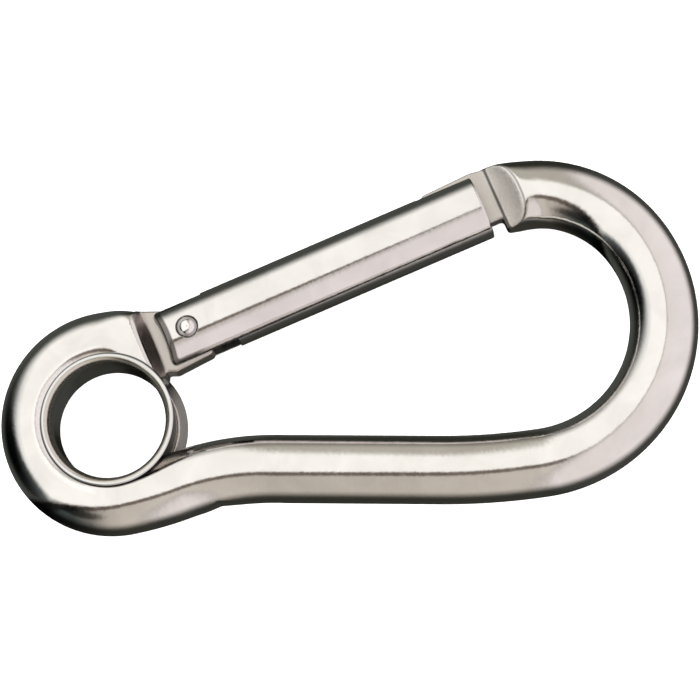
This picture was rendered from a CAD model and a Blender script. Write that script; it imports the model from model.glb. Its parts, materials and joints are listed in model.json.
"""Looks of the eye hook with latch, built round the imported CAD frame. Lengths here are in millimetres."""

import math

import bpy
import numpy as np
from mathutils import Matrix, Vector
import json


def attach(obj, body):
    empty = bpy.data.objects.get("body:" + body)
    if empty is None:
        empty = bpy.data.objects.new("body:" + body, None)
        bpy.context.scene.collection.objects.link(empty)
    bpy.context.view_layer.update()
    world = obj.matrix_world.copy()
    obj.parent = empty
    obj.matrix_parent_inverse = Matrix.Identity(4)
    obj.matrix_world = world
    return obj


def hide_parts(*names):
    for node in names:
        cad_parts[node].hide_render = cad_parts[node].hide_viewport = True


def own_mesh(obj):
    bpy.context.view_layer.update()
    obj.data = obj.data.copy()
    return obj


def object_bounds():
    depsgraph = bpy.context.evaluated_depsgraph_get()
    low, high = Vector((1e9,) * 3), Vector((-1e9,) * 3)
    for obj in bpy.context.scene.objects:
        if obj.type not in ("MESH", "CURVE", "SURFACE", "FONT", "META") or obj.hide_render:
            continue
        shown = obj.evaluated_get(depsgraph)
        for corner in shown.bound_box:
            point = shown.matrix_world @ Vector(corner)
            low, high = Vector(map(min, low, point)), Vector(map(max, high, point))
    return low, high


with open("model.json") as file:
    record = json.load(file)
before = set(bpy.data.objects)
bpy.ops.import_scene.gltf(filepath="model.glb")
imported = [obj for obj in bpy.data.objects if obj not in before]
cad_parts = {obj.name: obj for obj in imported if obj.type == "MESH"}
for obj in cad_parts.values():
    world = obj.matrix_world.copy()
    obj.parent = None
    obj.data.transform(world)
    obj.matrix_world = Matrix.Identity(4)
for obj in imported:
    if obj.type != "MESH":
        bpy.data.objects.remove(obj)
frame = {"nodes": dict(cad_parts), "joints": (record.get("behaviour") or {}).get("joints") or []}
CAD_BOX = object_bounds()
MM = 0.001


def link(name, data):
    """A new object in the scene, from a mesh, a camera or a light."""
    made = bpy.data.objects.new(name, data)
    bpy.context.scene.collection.objects.link(made)
    return made


# ---- Camera: where it stands, what it aims at, and its turn about its own axis
CAMERA_AT = Vector((69.95, -69.69, 430.0))
CAMERA_AIM = Vector((34.15, 11.11, 0.0))
CAMERA_ROLL = math.radians(1.0857)
CAMERA_LENS = 156.9

sight = (CAMERA_AIM - CAMERA_AT).normalized()
right = sight.cross(Vector((0, 1, 0))).normalized()
above = right.cross(sight)
across = right * math.cos(CAMERA_ROLL) + above * math.sin(CAMERA_ROLL)
upward = above * math.cos(CAMERA_ROLL) - right * math.sin(CAMERA_ROLL)
camera = link("camera", bpy.data.cameras.new("camera"))
camera.matrix_world = Matrix.Translation(CAMERA_AT * MM) @ Matrix(
    (across, upward, -sight)).transposed().to_4x4()
camera.data.lens = CAMERA_LENS
camera.data.sensor_width = 36
camera.data.clip_start = 0.01
camera.data.clip_end = 20
bpy.context.scene.camera = camera

# ---- Sizes of the hook, as in the CAD
ROD_R = 4.9
LOOP_R = 11.45
LOOP_CENTRE = (0.2, 0.2)
LOOP_FROM, LOOP_TO = 40, 282
SEAT_R = 8.9
GATE_ANGLE = math.radians(23.9)
HINGE_T, NOSE_T = 4.0, 3.0
SHOULDER_REACH, SHOULDER_LEAN = 5.45, 0.61
NOSE_FOOT, NOSE_LEAN, NOSE_HOLLOW = 47.85, 1.3, 0.6
# Rounds off the hollow nose shoulder where it meets the tongue
HOLLOW_EASE = 0.3
NOSE_TIP, NOSE_DROP, NOSE_RISE = 38.0, 3.0, 5.1
GATE_R, BORE_R = 4.75, 3.45
# The bar's section next to a shoulder: how much squarer it is, and over what length
FORGED_POWER, FORGED_LENGTH = 1.4, 6.5
# The corner of the crease under the shank, and the slopes of its two faces
CREASE, CREASE_RUN, CREASE_FALL = (15.9, -11.45), 0.035, 0.62
# How far the gate's tail slopes back for each millimetre that it rises
TAIL_LEAN = 0.28
TAIL_ROUND = 1.5
GATE_REACH, GATE_TAIL = 45.85, 4.15
# Half the width of each slot in the gate, and how far along the gate it runs
HINGE_SLOT, HINGE_SLOT_LOWER, HINGE_SLOT_UPPER = 2.2, 6, 3.4
NOSE_SLOT, NOSE_SLOT_FROM = 1.7, 37.4
RIVET_R, RIVET_HEAD_R, RIVET_SEAT, RIVET_SEAT_R = 1.3, 1.48, 4.4, 1.54
LIP_R, FLANGE_R, BUSH_BORE_R, BUSH_TOP = 9.55, 10.35, 8.15, 5.15
SPRING_R, SPRING_WIRE_R, SPRING_FROM, SPRING_TO, SPRING_TURNS = 2.65, 0.45, 3.65, 24.55, 13
# The bar's path after the eye: [turn in degrees, radius], or [length, 0] for a straight
AFTER_EYE = [(9, 50), (-21, -38), (23.5, 0), (9, 95), (121, 20.2), (73.9, 17.5)]

PIVOT = [v / MM for v in next(j for j in frame["joints"] if j["name"] == "gate_pivot")["pos_m"]]


# ---- Distances: every function below takes arrays, and is negative inside the metal
def smin(a, b, k):
    h = np.clip(0.5 + 0.5 * (b - a) / k, 0, 1)
    return b + (a - b) * h - k * h * (1 - h)


def smax(a, b, k):
    return -smin(-a, -b, k)


def gate_uv(x, y):
    dx, dy = x - PIVOT[0], y - PIVOT[1]
    c, s = math.cos(GATE_ANGLE), math.sin(GATE_ANGLE)
    return dx * c + dy * s, dy * c - dx * s


def arc_distance(x, y, centre, radius, a, b):
    """Distance in the plane to the arc about centre, between the angles a < b in radians."""
    mid, half = (a + b) / 2, (b - a) / 2
    turn = np.arctan2(y - centre[1], x - centre[0]) - mid
    turn = (turn + math.pi) % (2 * math.pi) - math.pi
    t = mid + np.clip(turn, -half, half)
    return np.hypot(x - centre[0] - radius * np.cos(t), y - centre[1] - radius * np.sin(t))


def line_distance(x, y, start, heading, length):
    c, s = math.cos(heading), math.sin(heading)
    t = np.clip((x - start[0]) * c + (y - start[1]) * s, 0, length)
    return np.hypot(x - start[0] - c * t, y - start[1] - s * t)


def walk():
    """The bar's arcs and straights after the eye, as functions of x and y."""
    end = math.radians(LOOP_TO)
    at = (LOOP_CENTRE[0] + LOOP_R * math.cos(end), LOOP_CENTRE[1] + LOOP_R * math.sin(end))
    heading = end + math.pi / 2
    made = []
    for turn, radius in AFTER_EYE:
        if radius == 0:
            made.append((line_distance, at, heading, turn))
            at = (at[0] + turn * math.cos(heading), at[1] + turn * math.sin(heading))
            continue
        centre = (at[0] - radius * math.sin(heading), at[1] + radius * math.cos(heading))
        turned = heading + math.radians(turn)
        side = math.pi / 2 if radius > 0 else -math.pi / 2
        a, b = sorted((heading - side, turned - side))
        made.append((arc_distance, centre, abs(radius), a, b))
        at = (centre[0] + radius * math.sin(turned), centre[1] - radius * math.cos(turned))
        heading = turned
    return made, at, heading


PATH, NOSE_END, NOSE_HEADING = walk()


def polygon_distance(u, v, points):
    best = np.full(u.shape, 1e9)
    inside = np.zeros(u.shape, bool)
    for (x0, y0), (x1, y1) in zip(points, points[1:] + points[:1]):
        ex, ey = x1 - x0, y1 - y0
        t = np.clip(((u - x0) * ex + (v - y0) * ey) / (ex * ex + ey * ey), 0, 1)
        best = np.minimum(best, np.hypot(u - x0 - ex * t, v - y0 - ey * t))
        if y0 != y1:
            crosses = ((y0 > v) != (y1 > v)) & (u < x0 + (v - y0) * ex / ey)
            inside ^= crosses
    return np.where(inside, -best, best)


def corner(c, r, a, b, steps=6):
    turns = [math.radians(a + (b - a) * i / steps) for i in range(steps + 1)]
    return [(c[0] + r * math.cos(t), c[1] + r * math.sin(t)) for t in turns]


LOW = GATE_R - 0.15
HINGE_OUTLINE = ([(-7.2, -2.6), (-5.5, -4.4), (-4, -LOW - 0.4)]
                 + corner((1.4, -LOW + 0.6), 0.6, -85, 0) + corner((0.4, LOW - 1.9), 1.6, 0, 90)
                 + [(-2.8, LOW - 0.3), (-6.1, LOW + 1.1), (-7.8, LOW - 0.6)])
NOSE_OUTLINE = (corner((NOSE_TIP + 0.6, -NOSE_DROP + 0.6), 0.6, 180, 270)
                + [(NOSE_FOOT + 3.5, -NOSE_DROP), (NOSE_FOOT + 3.5, 3.4), (NOSE_FOOT + 2.7, 4.4),
                   (NOSE_FOOT + 0.9, NOSE_RISE - 0.45), (NOSE_FOOT - 1.8, NOSE_RISE)]
                + corner((NOSE_TIP + 0.8, NOSE_RISE - 1.1), 0.8, 90, 180))


def shoulder(u, z, foot, t, lean, hollow=1.0):
    """How far a point stands past a leaning shoulder face, towards +u. A hollow under 1 makes it concave."""
    rise = ROD_R - t / 2
    share = (np.maximum(z - t / 2, 0) + HOLLOW_EASE) / (rise + HOLLOW_EASE)
    back = rise * (share ** hollow - (HOLLOW_EASE / (rise + HOLLOW_EASE)) ** hollow)
    return (u - foot - lean * back) / math.hypot(1, lean)


def bar_distance(line, z, past):
    """Round bar, squarer where it ends at a shoulder: past is how far a point is from that shoulder."""
    share = np.clip(past / FORGED_LENGTH, 0, 1)
    power = 2 + FORGED_POWER * (1 - share * share * (3 - 2 * share))
    line = np.maximum(line, 1e-6)
    return (line ** power + np.maximum(z, 1e-6) ** power) ** (1 / power) - ROD_R


def hook_distance(p):
    x, y, z = p.T
    z = np.abs(z)
    u, v = gate_uv(x, y)
    # The first part of the eye, from its hinge end, with a flat cut where the bar starts
    start = math.radians(LOOP_FROM)
    eye = arc_distance(x, y, LOOP_CENTRE, LOOP_R, start - 0.4, start + 1.5)
    eye = bar_distance(eye, z, -SHOULDER_REACH - u)
    behind = ((x - LOOP_CENTRE[0]) * math.sin(start) - (y - LOOP_CENTRE[1]) * math.cos(start))
    eye = smax(eye, behind, 0.5)
    eye = smax(eye, shoulder(u, z, -SHOULDER_REACH, HINGE_T, -SHOULDER_LEAN), 0.4)
    tongue = smax(z - HINGE_T / 2, polygon_distance(u, v, HINGE_OUTLINE), 0.5)
    d = smin(eye, tongue, 0.4)
    # The rest of the eye, the shank and the bow
    line = arc_distance(x, y, LOOP_CENTRE, LOOP_R, start + 1.2, math.radians(LOOP_TO))
    for made in PATH[:-1]:
        line = np.minimum(line, made[0](x, y, *made[1:]))
    by_hinge = (u < 20) & (v > -12)
    d = np.minimum(d, bar_distance(line, z, np.where(by_hinge, -SHOULDER_REACH - u, FORGED_LENGTH)))
    # The crease under the shank
    flat = (y - CREASE[1] - CREASE_RUN * (x - CREASE[0])) / math.hypot(1, CREASE_RUN)
    steep = (y - CREASE[1] - CREASE_FALL * (x - CREASE[0])) / math.hypot(1, CREASE_FALL)
    d = np.where(np.abs(x - CREASE[0]) < 9, smax(d, -np.maximum(flat, steep), 0.25), d)
    # The nose
    line = PATH[-1][0](x, y, *PATH[-1][1:])
    line = np.minimum(line, line_distance(x, y, NOSE_END, NOSE_HEADING, 14))
    slope = shoulder(u, z, NOSE_FOOT, NOSE_T, NOSE_LEAN, NOSE_HOLLOW)
    nose = smax(bar_distance(line, z, u - NOSE_FOOT), -slope, 0.5)
    tongue = smax(z - NOSE_T / 2, polygon_distance(u, v, NOSE_OUTLINE), 0.4)
    d = np.minimum(d, smin(nose, tongue, 0.4))
    d = smax(d, SEAT_R - np.hypot(x, y), 0.25)
    return smax(d, RIVET_R + 0.05 - np.hypot(u, v), 0.1)


def gate_distance(p):
    u, v = gate_uv(p[:, 0], p[:, 1])
    z = np.abs(p[:, 2])
    round_r = np.hypot(v, z)
    shell = np.abs(round_r - (GATE_R + BORE_R) / 2) - (GATE_R - BORE_R) / 2
    shell = smax(shell, u - GATE_REACH, 0.3)
    over_u, over_v = TAIL_ROUND - GATE_TAIL - u, np.abs(v) - GATE_R + TAIL_ROUND
    tail = (np.hypot(np.maximum(over_u, 0), np.maximum(over_v, 0))
            + np.minimum(np.maximum(over_u, over_v), 0) - TAIL_ROUND)
    # The tail's lean fades out over 8 mm past the pivot
    near = np.clip((8 - u) / 8, 0, 1)
    shell = smax(shell, tail + TAIL_LEAN * np.maximum(z - HINGE_SLOT, 0) * near, 0.35)
    lower = np.maximum(np.maximum(z - HINGE_SLOT, v), u - HINGE_SLOT_LOWER)
    upper = np.maximum(np.maximum(z - HINGE_SLOT, -v), u - HINGE_SLOT_UPPER)
    shell = smax(shell, -np.minimum(lower, upper), 0.12)
    nose = np.maximum(np.maximum(z - NOSE_SLOT, -v), NOSE_SLOT_FROM - u)
    shell = smax(shell, -nose, 0.3)
    shell = smax(shell, RIVET_R - np.hypot(u, v), 0.08)
    seat = np.maximum(np.hypot(u, v) - RIVET_SEAT_R, RIVET_SEAT - z)
    return smax(shell, -seat, 0.1)


def gradient(f, p, step=0.02):
    g = np.empty_like(p)
    for i in range(3):
        d = np.zeros(3)
        d[i] = step
        g[:, i] = (f(p + d) - f(p - d)) / (2 * step)
    return g


def surface(name, node, f, cell, rounds=6):
    """A mesh of the surface where f is zero, started from the CAD node's own solid.

    Each round moves the points onto the surface, then evens them out along it.
    """
    least_slope, longest_step, evening = 0.2, 0.4, 0.6
    made = link(name, frame["nodes"][node].data.copy())
    remesh = made.modifiers.new("remesh", "REMESH")
    remesh.mode = "VOXEL"
    remesh.voxel_size = cell * MM
    mesh = bpy.data.meshes.new_from_object(made.evaluated_get(bpy.context.evaluated_depsgraph_get()))
    made.modifiers.clear()
    made.data = mesh
    n = len(mesh.vertices)
    p = np.empty(n * 3)
    mesh.vertices.foreach_get("co", p)
    p = p.reshape(-1, 3) / MM
    edges = np.empty(len(mesh.edges) * 2, int)
    mesh.edges.foreach_get("vertices", edges)
    a, b = edges.reshape(-1, 2).T
    count = np.maximum(np.bincount(a, minlength=n) + np.bincount(b, minlength=n), 1)
    for i in range(rounds):
        for _ in range(2):
            g = gradient(f, p)
            square = np.maximum((g * g).sum(1), least_slope)
            move = g * (f(p) / square)[:, None]
            far = np.linalg.norm(move, axis=1)
            p = p - move * np.minimum(1, longest_step / np.maximum(far, 1e-9))[:, None]
        if i < rounds - 1:
            mean = np.stack([(np.bincount(a, p[b, k], n) + np.bincount(b, p[a, k], n)) / count
                             for k in range(3)], 1)
            g = gradient(f, p)
            g /= np.maximum(np.linalg.norm(g, axis=1), 1e-9)[:, None]
            slide = mean - p
            p = p + evening * (slide - g * (slide * g).sum(1)[:, None])
    g = gradient(f, p)
    g /= np.maximum(np.linalg.norm(g, axis=1), 1e-9)[:, None]
    mesh.vertices.foreach_set("co", (p * MM).ravel())
    mesh.update()
    mesh.shade_smooth()
    mesh.normals_split_custom_set_from_vertices(g)
    return made


def lathe(name, profile, turns, place):
    """A closed ring of revolution about the local Z axis. profile is a closed loop of (radius, height)."""
    m = len(profile)
    angles = [2 * math.pi * i / turns for i in range(turns)]
    verts = [place @ Vector((r * math.cos(t) * MM, r * math.sin(t) * MM, h * MM))
             for t in angles for r, h in profile]
    faces = [(i * m + j, i * m + (j + 1) % m, (i + 1) % turns * m + (j + 1) % m, (i + 1) % turns * m + j)
             for i in range(turns) for j in range(m)]
    mesh = bpy.data.meshes.new(name)
    mesh.from_pydata(verts, [], faces)
    mesh.update()
    mesh.shade_smooth()
    return link(name, mesh)


GATE_FRAME = Matrix.Translation(Vector(PIVOT) * MM) @ Matrix.Rotation(GATE_ANGLE, 4, "Z")

# ---- Pieces
hook = surface("hook_bar", "hook_body", hook_distance, 0.3)
gate = surface("gate_shell", "gate_tube", gate_distance, 0.19)


def bush_half(lip, edge_r):
    """The eyelet's section from its outside to its bore, from the middle up, with a steep rounded mouth."""
    mouth_r, mouth_depth = 1.05, 2.4
    mouth = [(BUSH_BORE_R + mouth_r * (1 - math.cos(t)), BUSH_TOP - mouth_depth * (1 - math.sin(t)))
             for t in (math.radians(a) for a in (90, 84, 78, 72, 66, 60, 52, 44, 36, 28, 20, 10, 0))]
    wall = [(SEAT_R - 0.02, h) for h in (0, 1, 2, 3, 3.8, 4.5)]
    # A lip that reaches further than this has a flat underside, up to its rounded edge
    foot = SEAT_R + 0.45
    if lip - edge_r > foot + 0.01:
        wall.append((foot, BUSH_TOP - 2 * edge_r))
    return (wall + corner((lip - edge_r, BUSH_TOP - edge_r), edge_r, -90, 90, 10)
            + mouth + [(BUSH_BORE_R, 1), (BUSH_BORE_R, 0)])


upper, lower = bush_half(LIP_R, 0.2), bush_half(FLANGE_R, 0.14)
bush = lathe("bush_ring", upper + [(r, -h) for r, h in lower[::-1][1:-1]], 192, Matrix.Identity(4))


def rivet_half():
    """Shank, flat flange and raised dome, from the middle up."""
    dome_r, dome_rise, dome_foot = 1.04, 0.4, 4.6
    dome = [(dome_r * math.cos(math.radians(t)), dome_foot + dome_rise * math.sin(math.radians(t)))
            for t in range(12, 88, 7)]
    return ([(RIVET_R - 0.02, 0), (RIVET_R - 0.02, RIVET_SEAT), (RIVET_HEAD_R, RIVET_SEAT)]
            + corner((RIVET_HEAD_R - 0.12, RIVET_SEAT + 0.02), 0.12, 0, 70, 4) + [(1.2, 4.62), (1.1, 4.65)]
            + dome + [(0.02, 5.0)])


half = rivet_half()
rivet = lathe("rivet_pin", half + [(r, -h) for r, h in half[::-1][:-1]], 64, GATE_FRAME)


def helix(name, coil_r, wire_r, start, end, turns, ring=12, per_turn=36):
    """A round wire coiled about the gate's axis, with its first and last turns closed up."""
    closing = 0.045
    n = turns * per_turn
    verts, faces = [], []
    for i in range(n + 1):
        s = i / n
        ease = s - closing * math.sin(2 * math.pi * s)
        t = 2 * math.pi * turns * s
        for j in range(ring):
            q = 2 * math.pi * j / ring
            r = coil_r + wire_r * math.cos(q)
            verts.append(GATE_FRAME @ (Vector((start + (end - start) * ease + wire_r * math.sin(q),
                                               r * math.cos(t), r * math.sin(t))) * MM))
    for i in range(n):
        for j in range(ring):
            k = (j + 1) % ring
            faces.append((i * ring + j, i * ring + k, (i + 1) * ring + k, (i + 1) * ring + j))
    faces += [tuple(range(ring))[::-1], tuple(n * ring + j for j in range(ring))]
    mesh = bpy.data.meshes.new(name)
    mesh.from_pydata(verts, [], faces)
    mesh.update()
    mesh.shade_smooth()
    return link(name, mesh)


spring = helix("spring_coil", SPRING_R, SPRING_WIRE_R, SPRING_FROM, SPRING_TO, SPRING_TURNS)

PIECES = ((hook, "hook", "hook_body", "hook_steel"),
          (bush, "hook", "eye_bush", "bush_steel"),
          (gate, "gate", "gate_tube", "gate_steel"),
          (rivet, "gate", "hinge_rivet", "rivet_steel"),
          (spring, "gate", "gate_spring", "spring_steel"))
for piece, body, node, slot in PIECES:
    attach(piece, body)
    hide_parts(node)
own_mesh(spring)


# ---- Shader nodes
def feed(links, socket, value):
    """Joins a socket to another one, or gives it a plain value."""
    if isinstance(value, bpy.types.NodeSocket):
        links.new(value, socket)
    else:
        socket.default_value = value


def calculator(nodes, links):
    """A function that adds one Math node: its operation, then sockets or numbers."""
    def calculate(operation, *values):
        made = nodes.new("ShaderNodeMath")
        made.operation = operation
        for socket, value in zip(made.inputs, values):
            feed(links, socket, value)
        return made.outputs[0]
    return calculate


def ramp(nodes, links, source, low, high, a=0.0, b=1.0):
    """A Map Range node: a where source is low, b where it is high. It stays between the two."""
    made = nodes.new("ShaderNodeMapRange")
    for name, value in (("Value", source), ("From Min", low), ("From Max", high), ("To Min", a), ("To Max", b)):
        feed(links, made.inputs[name], value)
    return made


def mixed(nodes, links, kind, share, a, b):
    """A Mix node of that kind, RGBA or FLOAT: b over a by share. Each is a socket or a value."""
    made = nodes.new("ShaderNodeMix")
    made.data_type = kind
    for name, value in (("Factor", share), ("A", a), ("B", b)):
        feed(links, made.inputs[name], value)
    return made


# ---- Patches: each function makes a socket that is 1 on the patch, from a place in the object's own frame.
# They stand in for light and shade that the studio doesn't give, and aren't known finishes of such a hook
class Place:
    """Sockets that say where a point is, in millimetres.

    x and height are the object's own, z is the distance above or below its middle, u and v lie along and across
    the gate, and r is the distance from the eye's axis.
    """

    def __init__(self, nodes, links, where):
        self.nodes, self.links = nodes, links
        self.math = m = calculator(nodes, links)
        parts = nodes.new("ShaderNodeSeparateXYZ")
        links.new(where, parts.inputs[0])
        self.x, y, self.height = (m("MULTIPLY", o, 1 / MM) for o in parts.outputs)
        dx, dy = m("SUBTRACT", self.x, PIVOT[0]), m("SUBTRACT", y, PIVOT[1])
        c, s = math.cos(GATE_ANGLE), math.sin(GATE_ANGLE)
        self.u = m("ADD", m("MULTIPLY", dx, c), m("MULTIPLY", dy, s))
        self.v = m("SUBTRACT", m("MULTIPLY", dy, c), m("MULTIPLY", dx, s))
        self.z = m("ABSOLUTE", self.height)
        self.r = self.hypot(self.x, y)

    def hypot(self, a, b):
        return self.math("SQRT", self.math("ADD", self.math("MULTIPLY", a, a), self.math("MULTIPLY", b, b)))

    def step(self, source, low, high):
        """From 0 where source is low to 1 where it is high."""
        return ramp(self.nodes, self.links, source, low, high).outputs[0]

    def least(self, *values):
        result = values[0]
        for value in values[1:]:
            result = self.math("MINIMUM", result, value)
        return result

    def past_shoulders(self):
        """How far a place is past the hinge's and the nose's shoulder, on the tongue's side."""
        m = self.math
        height = m("MAXIMUM", m("SUBTRACT", self.z, HINGE_T / 2), 0)
        hinge = m("ADD", m("ADD", self.u, SHOULDER_REACH), m("MULTIPLY", height, SHOULDER_LEAN))
        rise = ROD_R - NOSE_T / 2
        height = m("ADD", m("MAXIMUM", m("SUBTRACT", self.z, NOSE_T / 2), 0), HOLLOW_EASE)
        back = m("SUBTRACT", m("POWER", m("DIVIDE", height, rise + HOLLOW_EASE), NOSE_HOLLOW),
                 (HOLLOW_EASE / (rise + HOLLOW_EASE)) ** NOSE_HOLLOW)
        nose = m("SUBTRACT", m("ADD", m("MULTIPLY", back, rise * NOSE_LEAN), NOSE_FOOT), self.u)
        # Each counts only at its own end of the gate, and near the gate's line
        near = m("SUBTRACT", 7, m("ABSOLUTE", self.v))
        return (self.least(hinge, m("SUBTRACT", 9, self.u), near),
                self.least(nose, m("SUBTRACT", self.u, 30), near))


def forged_tongues(at):
    """The flats of both tongues."""
    hinge, nose = at.past_shoulders()
    return at.least(at.step(at.z, 4.5, 4.1), at.step(at.math("MAXIMUM", hinge, nose), 0.02, 0.12))


def hinge_shoulder(at):
    """The face between the hinge tongue and the round bar."""
    hinge, _ = at.past_shoulders()
    return at.least(at.step(hinge, -0.14, -0.04), at.step(at.z, 2.05, 2.2), at.step(at.z, 4.45, 4.1),
                    at.step(hinge, 0.9, 0.6))


def nose_shoulder(at):
    """The slope between the nose tongue and the round bar."""
    _, nose = at.past_shoulders()
    return at.least(at.step(nose, -0.3, -0.2), at.step(at.z, 1.55, 1.75), at.step(at.z, 4.75, 4.6))


def nose_crest(at):
    """A thin dark line along the top of the nose's slope."""
    _, nose = at.past_shoulders()
    return at.least(at.step(nose, -0.58, -0.46), at.step(nose, -0.2, -0.32), at.step(at.z, 2.4, 2.6))


def nose_foot(at):
    """A dark line where the nose's slope meets its tongue."""
    _, nose = at.past_shoulders()
    return at.least(at.step(nose, -0.35, -0.25), at.step(nose, 0.2, 0.1), at.step(at.z, 1.85, 1.75))


def round_the_eyelet(at):
    """The crevice under the eyelet's lip."""
    return at.least(at.step(at.r, 9.82, 9.68), at.step(at.z, 1.0, 1.5))


def left_of_the_eyelet(at):
    """A brighter band on the eye's inner slope, on the side away from the hook."""
    return at.least(at.step(at.x, -1, -3), at.step(at.r, 11.0, 10.4), at.step(at.r, 9.7, 9.84))


def eyelet_outside(at):
    """The eyelet's outside below its upper lip: its wall and its lower flange."""
    return at.least(at.step(at.r, 8.75, 8.85), at.step(at.height, 4.5, 4.3))


def eyelet_mouth(at):
    """The slope into the eyelet's bore, at both ends."""
    return at.least(at.step(at.r, 9.22, 9.12), at.step(at.z, 2.4, 3.4))


def rivet_flange(at):
    """The flat ring round the rivet's dome."""
    return at.step(at.hypot(at.u, at.v), 1.04, 1.12)


def rivet_seat(at):
    """The gate's surface close round the rivet."""
    return at.step(at.hypot(at.u, at.v), 1.72, 1.62)


def gate_tail(at):
    """A narrow dark rim along the cut at the gate's tail, found as gate_distance finds the cut."""
    m = at.math
    over_u = m("SUBTRACT", TAIL_ROUND - GATE_TAIL, at.u)
    over_v = m("SUBTRACT", m("ABSOLUTE", at.v), GATE_R - TAIL_ROUND)
    out = at.hypot(m("MAXIMUM", over_u, 0), m("MAXIMUM", over_v, 0))
    tail = m("SUBTRACT", m("ADD", out, m("MINIMUM", m("MAXIMUM", over_u, over_v), 0)), TAIL_ROUND)
    tail = m("ADD", tail, m("MULTIPLY", m("MAXIMUM", m("SUBTRACT", at.z, HINGE_SLOT), 0), TAIL_LEAN))
    return at.least(at.step(tail, -0.95, -0.75), at.step(at.u, 1.2, -0.4), at.step(at.z, 2.2, 2.5))


def gate_inside(at):
    """The gate's bore and its slots' walls, apart from the rivet's hole and the rim at the nose."""
    m = at.math
    from_rivet_squared = m("ADD", m("MULTIPLY", at.u, at.u), m("MULTIPLY", at.v, at.v))
    return at.least(at.step(at.hypot(at.v, at.z), GATE_R - 0.14, GATE_R - 0.24),
                    at.step(from_rivet_squared, 2.6, 3.0),
                    at.step(at.u, GATE_REACH - 0.1, GATE_REACH - 0.3))


# ---- Materials
def steel(name, tint, shade, smooth, rough, bump, patches=()):
    """Polished steel: a broad noise mixes tint and shade, and a fine one gives the gloss and the bump.

    Over it lie the patches, in order: the function that masks each, its colour and its range of roughness.
    """
    material = bpy.data.materials.new(name)
    material.use_nodes = True
    nodes, links = material.node_tree.nodes, material.node_tree.links
    nodes.clear()
    out = nodes.new("ShaderNodeOutputMaterial")
    shader = nodes.new("ShaderNodeBsdfPrincipled")
    shader.inputs["Metallic"].default_value = 1.0
    links.new(shader.outputs[0], out.inputs[0])
    where = nodes.new("ShaderNodeTexCoord")
    mapping = nodes.new("ShaderNodeMapping")
    mapping.inputs["Scale"].default_value = [1 / MM] * 3
    links.new(where.outputs["Object"], mapping.inputs["Vector"])

    def noise(scale, detail, distortion=0.0):
        made = nodes.new("ShaderNodeTexNoise")
        links.new(mapping.outputs[0], made.inputs["Vector"])
        for key, value in (("Scale", scale), ("Detail", detail), ("Distortion", distortion)):
            made.inputs[key].default_value = value
        return made.outputs[0]

    def share(source, low, high, a=0.0, b=1.0):
        return ramp(nodes, links, source, low, high, a, b).outputs[0]

    def mix(kind, factor, a, b):
        return mixed(nodes, links, kind, factor, a, b).outputs["Result"]

    smudge, fine = noise(0.16, 4, 0.6), noise(1.6, 6)
    colour = mix("RGBA", share(smudge, 0.35, 0.7), (*tint, 1), (*shade, 1))
    gloss = share(fine, 0.3, 0.75, smooth, rough)
    for patch, patch_tint, low, high in patches:
        mask = patch(Place(nodes, links, where.outputs["Object"]))
        grain = noise(2.6, 5)
        satin = mix("RGBA", share(grain, 0.35, 0.65), (*[c * 0.92 for c in patch_tint], 1), (*patch_tint, 1))
        colour = mix("RGBA", mask, colour, satin)
        gloss = mix("FLOAT", mask, gloss, share(grain, 0.3, 0.7, low, high))
    links.new(colour, shader.inputs["Base Color"])
    links.new(gloss, shader.inputs["Roughness"])
    height = nodes.new("ShaderNodeBump")
    height.inputs["Strength"].default_value = 1.0
    height.inputs["Distance"].default_value = bump * MM
    links.new(fine, height.inputs["Height"])
    links.new(height.outputs[0], shader.inputs["Normal"])
    return material


# The hook's and the gate's meshes come with the CAD's plain material, which is taken off first
hook.data.materials.clear()
gate.data.materials.clear()
hook.data.materials.append(steel("hook_steel", (0.74, 0.72, 0.69), (0.66, 0.64, 0.61), 0.06, 0.14, 0.010,
                                 patches=[(left_of_the_eyelet, (0.85, 0.84, 0.81), 0.08, 0.1),
                                          (forged_tongues, (0.54, 0.51, 0.47), 0.34, 0.46),
                                          (hinge_shoulder, (0.46, 0.41, 0.375), 0.3, 0.4),
                                          (nose_shoulder, (1.0, 0.97, 0.92), 0.58, 0.7),
                                          (nose_crest, (0.36, 0.35, 0.33), 0.2, 0.3),
                                          (nose_foot, (0.16, 0.15, 0.14), 0.3, 0.4),
                                          (round_the_eyelet, (0.10, 0.095, 0.09), 0.3, 0.5)]))
gate.data.materials.append(steel("gate_steel", (0.72, 0.70, 0.68), (0.64, 0.62, 0.60), 0.06, 0.14, 0.010,
                                 patches=[(gate_inside, (0.17, 0.165, 0.155), 0.28, 0.4),
                                          (gate_tail, (0.18, 0.17, 0.16), 0.2, 0.3),
                                          (rivet_seat, (0.2, 0.19, 0.18), 0.3, 0.4)]))
bush.data.materials.append(steel("bush_steel", (0.70, 0.70, 0.69), (0.60, 0.61, 0.60), 0.08, 0.18, 0.008,
                                 patches=[(eyelet_outside, (0.22, 0.215, 0.2), 0.25, 0.4),
                                          (eyelet_mouth, (0.62, 0.59, 0.53), 0.18, 0.28)]))
rivet.data.materials.append(steel("rivet_steel", (0.78, 0.77, 0.75), (0.70, 0.69, 0.67), 0.08, 0.2, 0.006,
                                  patches=[(rivet_flange, (0.42, 0.40, 0.38), 0.3, 0.4)]))
spring.data.materials.append(steel("spring_steel", (0.16, 0.155, 0.15), (0.10, 0.10, 0.095), 0.2, 0.35, 0.006))
oiled = steel("plunger_steel", (0.15, 0.145, 0.14), (0.09, 0.09, 0.085), 0.25, 0.4, 0.006)
for node in ("spring_plunger", "spring_stop"):
    frame["nodes"][node].data.materials.clear()
    frame["nodes"][node].data.materials.append(oiled)


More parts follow.
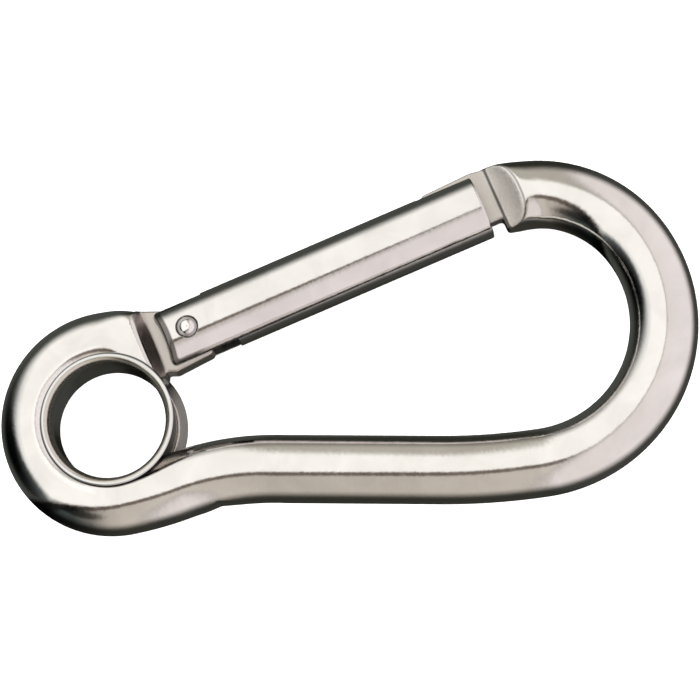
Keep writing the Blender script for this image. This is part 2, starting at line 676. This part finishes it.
# ---- Floor, world and lights
FLOOR_SIZE, FLOOR_MIDDLE = 6, (0.03, 0.01)
PAPER_GREY, PAPER_ROUGH = 0.9, 0.9
BACKDROP_GREY, WORLD_STRENGTH = 0.72, 1.38
SUN_ENERGY, SUN_SPREAD, SUN_TILT = 2.4, math.radians(60), (math.radians(12), math.radians(-8), 0)
FILL_ENERGY = 2.6

bpy.ops.mesh.primitive_plane_add(size=FLOOR_SIZE, location=(*FLOOR_MIDDLE, CAD_BOX[0].z))
floor = bpy.context.object
floor.name = "floor"
floor.visible_glossy = False
paper = bpy.data.materials.new("paper")
paper.use_nodes = True
paper_shader = paper.node_tree.nodes["Principled BSDF"]
paper_shader.inputs["Base Color"].default_value = (PAPER_GREY, PAPER_GREY, PAPER_GREY, 1)
paper_shader.inputs["Roughness"].default_value = PAPER_ROUGH
floor.data.materials.append(paper)

world = bpy.data.worlds.new("studio")
bpy.context.scene.world = world
world.use_nodes = True
nodes, links = world.node_tree.nodes, world.node_tree.links
nodes.clear()
out = nodes.new("ShaderNodeOutputWorld")
background = nodes.new("ShaderNodeBackground")
links.new(background.outputs[0], out.inputs[0])
where = nodes.new("ShaderNodeTexCoord")
calculate = calculator(nodes, links)


def bearing(turn, rise=0.0):
    """A direction at that many degrees round from +x, towards +y."""
    return Vector((math.cos(math.radians(turn)), math.sin(math.radians(turn)), rise))


def dot(vector):
    """How nearly the way of looking agrees with vector, from -1 to 1."""
    made = nodes.new("ShaderNodeVectorMath")
    made.operation = "DOT_PRODUCT"
    links.new(where.outputs["Generated"], made.inputs[0])
    made.inputs[1].default_value = vector
    return made.outputs["Value"]


def colours(source, stops):
    """A colour ramp over source, which runs from -1 to 1."""
    made = nodes.new("ShaderNodeValToRGB")
    links.new(ramp(nodes, links, source, -1, 1).outputs[0], made.inputs[0])
    elements = made.color_ramp.elements
    while len(elements) > 1:
        elements.remove(elements[-1])
    for i, (at, colour) in enumerate(stops):
        element = elements[0] if i == 0 else elements.new((at + 1) / 2)
        element.position = (at + 1) / 2
        element.color = (*colour, 1)
    return made.outputs[0]


def rise(source, low, high):
    """A smooth step from 0 to 1."""
    made = ramp(nodes, links, source, low, high)
    made.interpolation_type = "SMOOTHSTEP"
    return made.outputs[0]


def blend(a, b, share):
    """b over a by share."""
    return mixed(nodes, links, "RGBA", share, a, b).outputs["Result"]


def shaded(a, b):
    """The product of two colours."""
    made = mixed(nodes, links, "RGBA", 1, a, b)
    made.blend_type = "MULTIPLY"
    return made.outputs["Result"]


# The room: a white wall on one side of a dark gap, warm grey on the other, and dark below the lights
ACROSS = Vector((-0.88, 1.0, 0.282)).normalized()
FAR_END = bearing(30)
LIT_SIDE = bearing(25)
DARK_CORNER = bearing(198, 0.1).normalized()
DARK_SPOT = bearing(240, 0.5).normalized()
PLAIN = (1, 1, 1)
along_x, gap = dot((1, 0, 0)), dot(ACROSS)
white = colours(along_x, [(-0.97, (0.03, 0.035, 0.035)), (-0.9, (0.3, 0.3, 0.3)), (-0.8, (0.7, 0.7, 0.69)),
                          (-0.65, (0.95, 0.94, 0.92)), (1, (0.97, 0.94, 0.91))])
warm = colours(along_x, [(-0.5, (0.05, 0.06, 0.06)), (-0.32, (0.16, 0.15, 0.14)), (-0.15, (0.44, 0.405, 0.365)),
                         (0.0, (0.53, 0.485, 0.44)), (0.25, (0.63, 0.585, 0.545)),
                         (0.5, (0.78, 0.71, 0.69)), (1, (0.7, 0.645, 0.64))])
grey = colours(along_x, [(-0.2, (0.42, 0.4, 0.355)), (0.08, (0.42, 0.4, 0.36)), (0.13, (0.44, 0.41, 0.39)),
                         (0.22, (0.74, 0.69, 0.69)), (1, (0.80, 0.755, 0.765))])
room = blend(warm, white, rise(gap, -0.005, 0.03))
room = shaded(room, colours(gap, [(-1, PLAIN), (-0.17, PLAIN), (-0.10, (0.28, 0.25, 0.235)),
                                  (0.02, (0.28, 0.25, 0.235)), (0.07, PLAIN), (1, PLAIN)]))
end = calculate("MAXIMUM", rise(dot(FAR_END), 0.22, 0.36), rise(along_x, 0.11, 0.14))
room = blend(room, grey, end)
room = shaded(room, colours(dot(DARK_CORNER), [(-1, PLAIN), (0.84, PLAIN), (0.93, (0.12, 0.13, 0.13)),
                                               (1, (0.04, 0.05, 0.05))]))
room = shaded(room, colours(dot(DARK_SPOT), [(-1, PLAIN), (0.95, PLAIN), (0.985, (0.3, 0.28, 0.27)),
                                             (1, (0.24, 0.23, 0.22))]))
# The dark behind the object starts later on one side, where the lights reach further round
later = colours(dot(LIT_SIDE), [(0.1, (0, 0, 0)), (0.4, (0.08, 0.08, 0.08)), (0.75, (0.2, 0.2, 0.2)),
                                (0.95, (0.3, 0.3, 0.3))])
depth = calculate("ADD", dot(-sight), later)
room = shaded(room, colours(depth, [(-0.4, (0.06, 0.065, 0.06)), (-0.25, (0.12, 0.125, 0.12)),
                                    (-0.12, (0.33, 0.33, 0.32)), (0.02, (0.62, 0.62, 0.61)),
                                    (0.2, (0.97, 0.97, 0.97)), (0.3, PLAIN)]))
# The camera itself sees a plain pale backdrop
path = nodes.new("ShaderNodeLightPath")
backdrop = (BACKDROP_GREY, BACKDROP_GREY, BACKDROP_GREY, 1)
links.new(blend(room, backdrop, path.outputs["Is Camera Ray"]), background.inputs[0])
background.inputs[1].default_value = WORLD_STRENGTH

sun = link("sun", bpy.data.lights.new("sun", "SUN"))
sun.data.energy = SUN_ENERGY
sun.data.angle = SUN_SPREAD
sun.rotation_euler = SUN_TILT
sun.visible_glossy = False
fill = link("fill", bpy.data.lights.new("fill", "SUN"))
fill.data.energy = FILL_ENERGY
fill.data.use_shadow = False
fill.visible_glossy = False
bpy.context.scene.view_settings.view_transform = "Standard"
